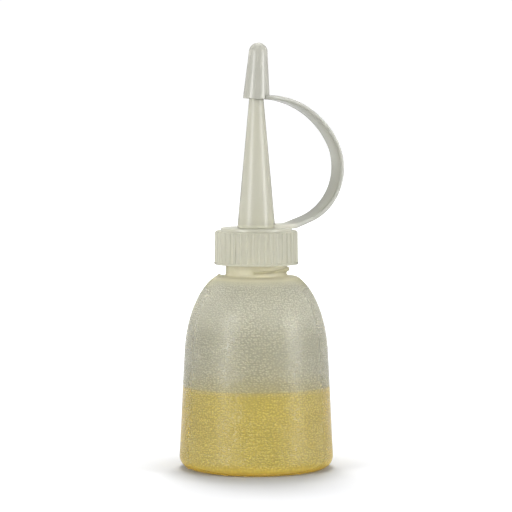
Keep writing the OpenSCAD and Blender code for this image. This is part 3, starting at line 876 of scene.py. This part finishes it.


# heights in millimetres, colours linear; a look's rim colour is the painted shade along its outline
wetLook = (0.98, 0.98, 0.96)
oilLook = {
    "gold": (0.82, 0.7, 0.19), "edge": (0.88, 0.6, 0.11), "edgeLow": 1.2, "edgeHigh": 4.5, "ior": 1.02,
    "roughness": 0.1,
}
bottleBands = [
    {"low": 38, "high": 52, "soft": 4, "clear": (0.945, 0.937, 0.835), "haze": (0.785, 0.772, 0.65)},
    # the neck's warmer tone is its own; it is also painted lighter, against the shade under the thread
    {"low": 50.3, "high": 70, "soft": 1.3, "clear": (0.935, 0.91, 0.775), "haze": (0.73, 0.695, 0.52)},
    # painted light: lighter over the shaded crease at the neck's foot
    {"low": 50.3, "high": 51.6, "soft": 0.3, "clear": (0.98, 0.96, 0.85), "haze": (0.93, 0.89, 0.7)},
    # painted light: this band and the ones below paint the oil's gold and its surface line, as seen through
    # the wall, onto the wall round and under the oil's level
    {"low": -1, "high": 24.5, "soft": 3, "clear": (0.88, 0.85, 0.64), "haze": (0.6, 0.57, 0.37)},
    # painted light: the oil's gold on the wall under its level, and a deeper gold painted along the outline
    {"low": -1, "high": 21.9, "soft": 0.6, "clear": (0.885, 0.79, 0.325), "haze": (0.68, 0.575, 0.15),
     "rim": (1.06, 0.92, 0.02)},
    # painted light: also lighter towards the bottom, against the floor's shade there
    {"low": -1, "high": 8, "soft": 5, "clear": (0.98, 0.885, 0.39), "haze": (0.9, 0.775, 0.215)},
    {"low": 21.1, "high": 21.9, "soft": 0.25, "clear": (0.9, 0.815, 0.41), "haze": (0.7, 0.62, 0.26)},
    {"low": -1, "high": 1.2, "soft": 0.7, "clear": (0.93, 0.72, 0.24), "haze": (0.74, 0.54, 0.1)},
]
bottleLook = {
    "clear": (0.9, 0.892, 0.765), "haze": (0.575, 0.56, 0.44), "clearRoughness": 0.28, "skinRoughness": 0.28,
    "matt": {"start": 47.5, "end": 49, "above": 0.55}, "edgeRoughness": 0.09, "gloss": 0.5,
    "coat": (0.08, 0.6), "through": 0.4, "clearShare": 0.6, "grain": 1.0, "waves": 0.5, "furrow": 0.3,
    "paintedGleam": 0.12, "gleamColor": (0.86, 0.83, 0.62), "bands": bottleBands,
    "rimStart": 0.42, "rimEnd": 0.95, "rim": (0.6, 0.59, 0.42),
}
capLook = {
    "clear": (0.9, 0.9, 0.83), "haze": (0.67, 0.66, 0.555), "clearRoughness": 0.42, "skinRoughness": 0.36,
    "matt": {"start": 63.3, "end": 64.2, "below": 0.6}, "gloss": 0.42,
    "through": 0.45, "clearShare": 0.35, "waves": 0.08, "bands": [
        {"low": 64.5, "high": 120, "soft": 0.5, "clear": (0.88, 0.88, 0.815), "haze": (0.61, 0.6, 0.515)},
        {"low": 64.5, "high": 69, "soft": 5, "clear": (0.89, 0.89, 0.81), "haze": (0.64, 0.63, 0.53)},
        # painted light: a light band over the shaded line at the spout's foot
        {"low": 63.8, "high": 64.7, "soft": 0.4, "clear": (0.95, 0.95, 0.87), "haze": (0.84, 0.83, 0.7)}],
    "rimStart": 0.5, "rimEnd": 1, "rim": (0.4, 0.4, 0.4),
}
tetherLook = {
    "clear": (0.71, 0.71, 0.63), "haze": (0.32, 0.32, 0.27), "clearRoughness": 0.35, "skinRoughness": 0.3,
    "through": 0.25, "clearShare": 0.3, "waves": 0.08, "bands": [],
    # the ring's lighter colours are painted light, from the cap under it
    "ring": {"clear": (0.9, 0.9, 0.83), "haze": (0.62, 0.61, 0.51)}, "gloss": 0.5,
    "rimStart": 0.6, "rimEnd": 1, "rim": (0.6, 0.6, 0.58),
}
tipLook = {
    "clear": (0.83, 0.83, 0.765), "haze": (0.5, 0.495, 0.435), "clearRoughness": 0.35, "skinRoughness": 0.34,
    "matt": {"start": 109.5, "end": 111.8, "above": 0.62}, "gloss": 0.42,
    "through": 0.25, "clearShare": 0.3, "waves": 0.08, "bands": [],
    "rimStart": 0.5, "rimEnd": 1, "rim": (0.5, 0.5, 0.5),
}

bottleMaterial = makePlastic("bottleSkin", bottleLook)
oilMaterial = makeOilMaterial(oilLook)
wetMaterial = makeWetMaterial(wetLook)
capMaterial = makePlastic("capSkin", capLook)
tetherMaterial = makePlastic("tetherSkin", tetherLook)
tipMaterial = makePlastic("tipSkin", tipLook)
print("materials made")

makeBottle(bottleMaterial, wetMaterial)
makeOil(oilMaterial)
makeScrewCap(capMaterial)
makeTether(tetherMaterial)
makeTipCap(tipMaterial)


# Floor, light and camera

# lengths and places in metres
floorSizes = {
    "paint": (0.655, 0.66, 0.675), "shadowPaint": (0.51, 0.515, 0.53), "shadowFrom": 0.0185, "shadowTo": 0.034,
    "shadeStart": 0.06, "shadeEnd": 0.5, "glow": 0.66, "frontStart": 0, "frontEnd": -0.6, "frontShare": 0.1,
    "size": 30, "roughness": 0.7, "gloss": 0.2,
}


def makeStage():
    # white sweep: paint under the object, darker round its base as a painted shadow, and the floor glows from
    # within farther out, so that no horizon shows
    f = floorSizes
    clearSelection()
    bpy.ops.mesh.primitive_plane_add(size=f["size"], location=(0, 0, 0))
    floor = bpy.context.object
    floor.name = "studio_floor"
    paint, tree = newMaterial("floorPaint")
    shader = addNode(tree, "ShaderNodeBsdfPrincipled", Roughness=f["roughness"],
                     **{"Specular IOR Level": f["gloss"], "Emission Color": (1, 1, 1, 1)})
    place = addNode(tree, "ShaderNodeTexCoord", (-700, -200)).outputs["Object"]
    away = addNode(tree, "ShaderNodeVectorMath", (-500, -200), operation="LENGTH")
    split = addNode(tree, "ShaderNodeSeparateXYZ", (-500, -400))
    feed(tree, (away.inputs[0], split.inputs[0]), (place, place))
    # painted shadow: the paint darkens towards the object's base
    near = mapRange(tree, away.outputs["Value"], f["shadowFrom"], f["shadowTo"], 0, 1, (-300, 0))
    tree.links.new(mixColors(tree, near, f["shadowPaint"], f["paint"], (-100, 0)), shader.inputs["Base Color"])
    glow = mapRange(tree, away.outputs["Value"], f["shadeStart"], f["shadeEnd"], 0, f["glow"], (-300, -200))
    behind = mapRange(tree, split.outputs[1], f["frontEnd"], f["frontStart"], f["frontShare"], 1,
                      (-300, -400))
    tree.links.new(math2(tree, "MULTIPLY", glow, behind, (-100, -300)), shader.inputs["Emission Strength"])
    tree.links.new(shader.outputs[0], addNode(tree, "ShaderNodeOutputMaterial", (300, 0)).inputs[0])
    floor.data.materials.append(paint)


roomSizes = {
    "horizonBack": 1.04, "horizonFront": 0.6, "front": 0.2, "back": 0.75, "top": 0.6, "bandTop": 0.14,
    "bandEnd": 0.3, "wallTurn": (-0.35, 0.35), "horizonTurn": (-0.6, 0.2), "ceiling": (0.5, 0.95),
}


def makeRoom():
    # white to just above the horizon, greyer walls over it, darkest where the camera stands
    r = roomSizes
    world = bpy.data.worlds.new("softRoom")
    bpy.context.scene.world = world
    world.use_nodes = True
    tree = world.node_tree
    tree.nodes.clear()
    split = addNode(tree, "ShaderNodeSeparateXYZ", (-500, 0))
    tree.links.new(addNode(tree, "ShaderNodeTexCoord", (-700, 0)).outputs["Generated"], split.inputs[0])
    walls = mapRange(tree, split.outputs[1], *r["wallTurn"], r["front"], r["back"], (-300, 0))
    horizon = mapRange(tree, split.outputs[1], *r["horizonTurn"], r["horizonFront"], r["horizonBack"],
                       (-300, 250))
    top = mapRange(tree, split.outputs[2], *r["ceiling"], 0, 1, (-300, -250))
    low = mapRange(tree, split.outputs[2], r["bandTop"], r["bandEnd"], 1, 0, (-300, -500))
    ceiling = addNode(tree, "ShaderNodeMix", (-50, -100))
    feed(tree, (ceiling.inputs[0], *ceiling.inputs[2:4]), (top, walls, r["top"]))
    whole = addNode(tree, "ShaderNodeMix", (50, 100))
    feed(tree, (whole.inputs[0], *whole.inputs[2:4]), (low, ceiling.outputs[0], horizon))
    glow = addNode(tree, "ShaderNodeBackground", (200, 0), Color=(1, 1, 1, 1))
    tree.links.new(whole.outputs[0], glow.inputs["Strength"])
    tree.links.new(glow.outputs[0], addNode(tree, "ShaderNodeOutputWorld", (400, 0)).inputs[0])


# metres, degrees round the object and watts
lightSizes = {
    "left": {"azimuth": -48, "distance": 1.1, "height": 0.2, "width": 0.32, "tall": 0.6, "power": 13.8},
    "right": {"azimuth": 64, "distance": 1.1, "height": 0.2, "width": 0.28, "tall": 0.6, "power": 13.2},
    "top": {"azimuth": 180, "distance": 0.58, "height": 1.2, "width": 0.5, "tall": 0.5, "power": 16},
}
lightAim = Vector((0, 0, 0.06))


def makeLights():
    # soft boxes, placed round the camera's direction and turned to the middle of the object
    for name, box in lightSizes.items():
        data = bpy.data.lights.new(name + "SoftBox", "AREA")
        data.shape = "RECTANGLE"
        data.size = box["width"]
        data.size_y = box["tall"]
        data.energy = box["power"]
        lamp = bpy.data.objects.new(name + "SoftBox", data)
        bpy.context.scene.collection.objects.link(lamp)
        turn = math.radians(box["azimuth"])
        place = Vector((math.sin(turn) * box["distance"], -math.cos(turn) * box["distance"], box["height"]))
        lamp.location = place
        lamp.rotation_euler = (lightAim - place).to_track_quat("-Z", "Y").to_euler()


# millimetres, but the clipping in metres and the frame in pixels
cameraSizes = {
    "distance": 700, "height": 104, "aim": 56.388, "side": -0.08, "pixel": 0.265375, "frame": 512,
    "sensor": 36, "clipStart": 0.05, "clipEnd": 100,
}


def makeCamera():
    c = cameraSizes
    data = bpy.data.cameras.new("frontCamera")
    camera = bpy.data.objects.new("frontCamera", data)
    bpy.context.scene.collection.objects.link(camera)
    camera.location = (c["side"] * mm, -c["distance"] * mm, c["height"] * mm)
    down = math.atan2(c["height"] - c["aim"], c["distance"])
    camera.rotation_euler = (math.pi / 2 - down, 0, 0)
    data.sensor_width = c["sensor"]
    depth = math.hypot(c["distance"], c["height"] - c["aim"])
    data.lens = c["sensor"] * depth / (c["frame"] * c["pixel"])
    data.clip_start = c["clipStart"]
    data.clip_end = c["clipEnd"]
    bpy.context.scene.camera = camera


makeStage()
makeRoom()
makeLights()
makeCamera()
print("studio made")
bpy.context.scene.view_settings.view_transform = "Standard"
